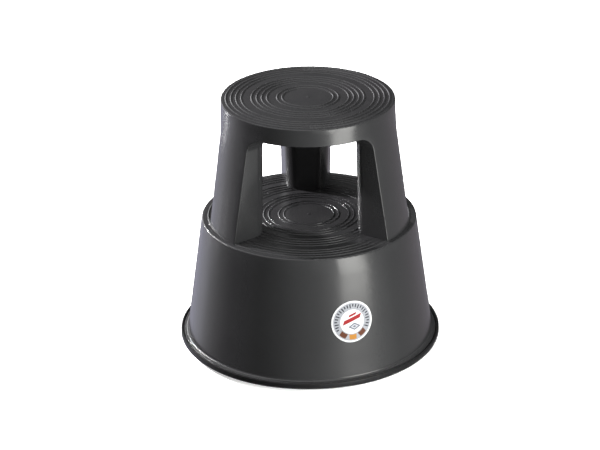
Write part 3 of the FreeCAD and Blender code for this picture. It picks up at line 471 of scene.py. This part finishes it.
# soft light under the floor: only the underside gets it
softbox("below", Vector((0.0, 0.0, -0.9)), (0, 0, 0), 0.5, 0.5, 9.0)
# strip and lamps miss the top step and the black ring
lower = bpy.data.collections.new("strip_lit")
for name, o in nodes.items():
    if name not in ("top_step", "ground_ring"):
        lower.objects.link(o)
for o in [strip] + lamps:
    o.light_linking.receiver_collection = lower
# a short strip and a weak glow for the top step alone: the pale patch under its rim at the left
upper = bpy.data.collections.new("top_lit")
upper.objects.link(nodes["top_step"])
at = polar_point(155.0, 0.0, 0.46) + Vector((0, 0, 0.302))
for o in (softbox("top_strip", at, (0, 0, 0.302), 0.008, 0.055, 0.045),
          softbox("top_glow", polar_point(150.0, 30.0, 2.1), (0, 0, 0.2), 1.0, 0.14, 2.0)):
    o.visible_diffuse = False
    o.light_linking.receiver_collection = upper

world = bpy.data.worlds.new("studio")
scene.world = world
world.use_nodes = True
g = Graph(world.node_tree)
out = g.add("ShaderNodeOutputWorld")
way = g.add("ShaderNodeTexCoord").outputs["Generated"]
sep = g.add("ShaderNodeSeparateXYZ")
g.link(way, sep.inputs[0])
# azimuth from 0 to 1 in the camera's own frame, elevation from -1 to 1
azimuth = g.math("ARCTAN2", sep.outputs[1], sep.outputs[0])
azimuth = g.math("FRACT", g.math("ADD", g.math("DIVIDE", g.math("SUBTRACT", azimuth, TURN), 2 * math.pi), 1.0))
height = sep.outputs[2]


def tint(level, r=1.0, gr=1.0, b=1.0):
    return (level * r, level * gr, level * b)


# what the upright faces mirror, all of it below the horizon
SIDE = [
    (0, tint(0.32)), (14, tint(0.33, 1.0, 0.95, 0.99)), (30, tint(0.34, 1.02, 0.93, 1.0)), (46, tint(0.34, 1.03, 0.92, 1.03)),
    (62, tint(0.30, 1.02, 0.94, 1.06)), (80, tint(0.34, 1.0, 0.96, 1.06)), (100, tint(0.42, 0.97, 0.96, 1.16)), (120, tint(0.72, 0.96, 0.96, 1.18)),
    (143, tint(0.98, 0.98, 0.98, 1.10)), (158, tint(0.58, 0.99, 0.99, 1.03)), (172, tint(0.27)), (186, tint(0.04, 1.03, 0.99, 1.0)),
    (228, tint(0.02)), (240, tint(0.08)), (249, tint(0.20)), (264, tint(0.38)), (279, tint(0.50)), (288, tint(0.85)), (300, tint(1.5)), (324, tint(1.35)),
    (338, tint(0.95)), (348, tint(0.66)),
]
# about the horizon: ridge flanks and rounded edges
MID = [
    (0, tint(0.45)), (30, tint(0.3)), (56, tint(0.06)), (82, tint(0.02)), (90, tint(0.05)), (99, tint(0.6)), (106, tint(0.95, 0.99, 0.99, 1.03)),
    (128, tint(1.0, 0.99, 0.99, 1.03)), (150, tint(0.9)), (172, tint(0.6)), (196, tint(0.15)), (226, tint(0.12)), (262, tint(0.6)),
    (290, tint(1.2)), (325, tint(1.4)), (345, tint(0.6)),
]
# well above the horizon: the treads mirror the part round 90
HIGH = [
    (0, tint(0.3)), (50, tint(0.05)), (90, tint(0.06)), (104, tint(0.2)), (130, tint(0.6)), (165, tint(0.6)), (200, tint(0.3)),
    (240, tint(0.3)), (280, tint(0.4)), (320, tint(0.5)),
]


def compass(stops):
    first = stops[0][1]
    return g.ramp(azimuth, [(a / 360.0, c) for a, c in stops] + [(1.0, first)], "EASE")


side, middle, high = compass(SIDE), compass(MID), compass(HIGH)
env = g.mix(g.span(height, -0.13, -0.01, kind="SMOOTHSTEP"), side, middle)
env = g.mix(g.span(height, 0.20, 0.36, kind="SMOOTHSTEP"), env, high)
env = g.mix(g.span(height, 0.66, 0.90, kind="SMOOTHSTEP"), env, (1.3, 1.3, 1.3, 1.0))
glow = g.add("ShaderNodeBackground")
g.link(env, glow.inputs[0])
glow.inputs[1].default_value = 1.0
paper = g.add("ShaderNodeBackground")
paper.inputs[0].default_value = (1.0, 1.0, 1.0, 1.0)
paper.inputs[1].default_value = 1.0
rays = g.add("ShaderNodeLightPath")
dim = g.add("ShaderNodeBackground")
dim.inputs[0].default_value = (0.12, 0.12, 0.12, 1.0)
soft = g.add("ShaderNodeMixShader")
g.link(rays.outputs["Is Diffuse Ray"], soft.inputs[0])
g.link(glow.outputs[0], soft.inputs[1])
g.link(dim.outputs[0], soft.inputs[2])
pick = g.add("ShaderNodeMixShader")
g.link(rays.outputs["Is Camera Ray"], pick.inputs[0])
g.link(soft.outputs[0], pick.inputs[1])
g.link(paper.outputs[0], pick.inputs[2])
g.link(pick.outputs[0], out.inputs[0])

# camera: position and axes from distance, elevation and small turns
FOCAL, DIST, ELEV, ROLL, YAW, PITCH = 2373.7, 3.9749, 0.4281, -0.0112, -0.0038, -0.0031
spot = Vector((0.0, -DIST * math.cos(ELEV), 0.215 + DIST * math.sin(ELEV)))
ahead = Vector((0.0, math.cos(ELEV), -math.sin(ELEV)))
right = Vector((1.0, 0.0, 0.0))
ahead = (ahead + right * YAW + right.cross(ahead) * PITCH).normalized()
right = ahead.cross(Vector((0, 0, 1))).normalized()
above = right.cross(ahead)
r3 = right * math.cos(ROLL) + above * math.sin(ROLL)
u3 = above * math.cos(ROLL) - right * math.sin(ROLL)
cam = bpy.data.cameras.new("camera")
cam.sensor_width = 36.0
cam.lens = FOCAL / 600.0 * 36.0
cam.clip_end = 60.0
camera = bpy.data.objects.new("camera", cam)
m = Matrix((r3, u3, -ahead)).transposed().to_4x4()
m.translation = spot
camera.matrix_world = spin @ m
scene.collection.objects.link(camera)
scene.camera = camera

scene.view_settings.view_transform = "Standard"
scene.view_settings.look = "None"
scene.view_settings.exposure = 0.0
scene.view_settings.gamma = 1.0
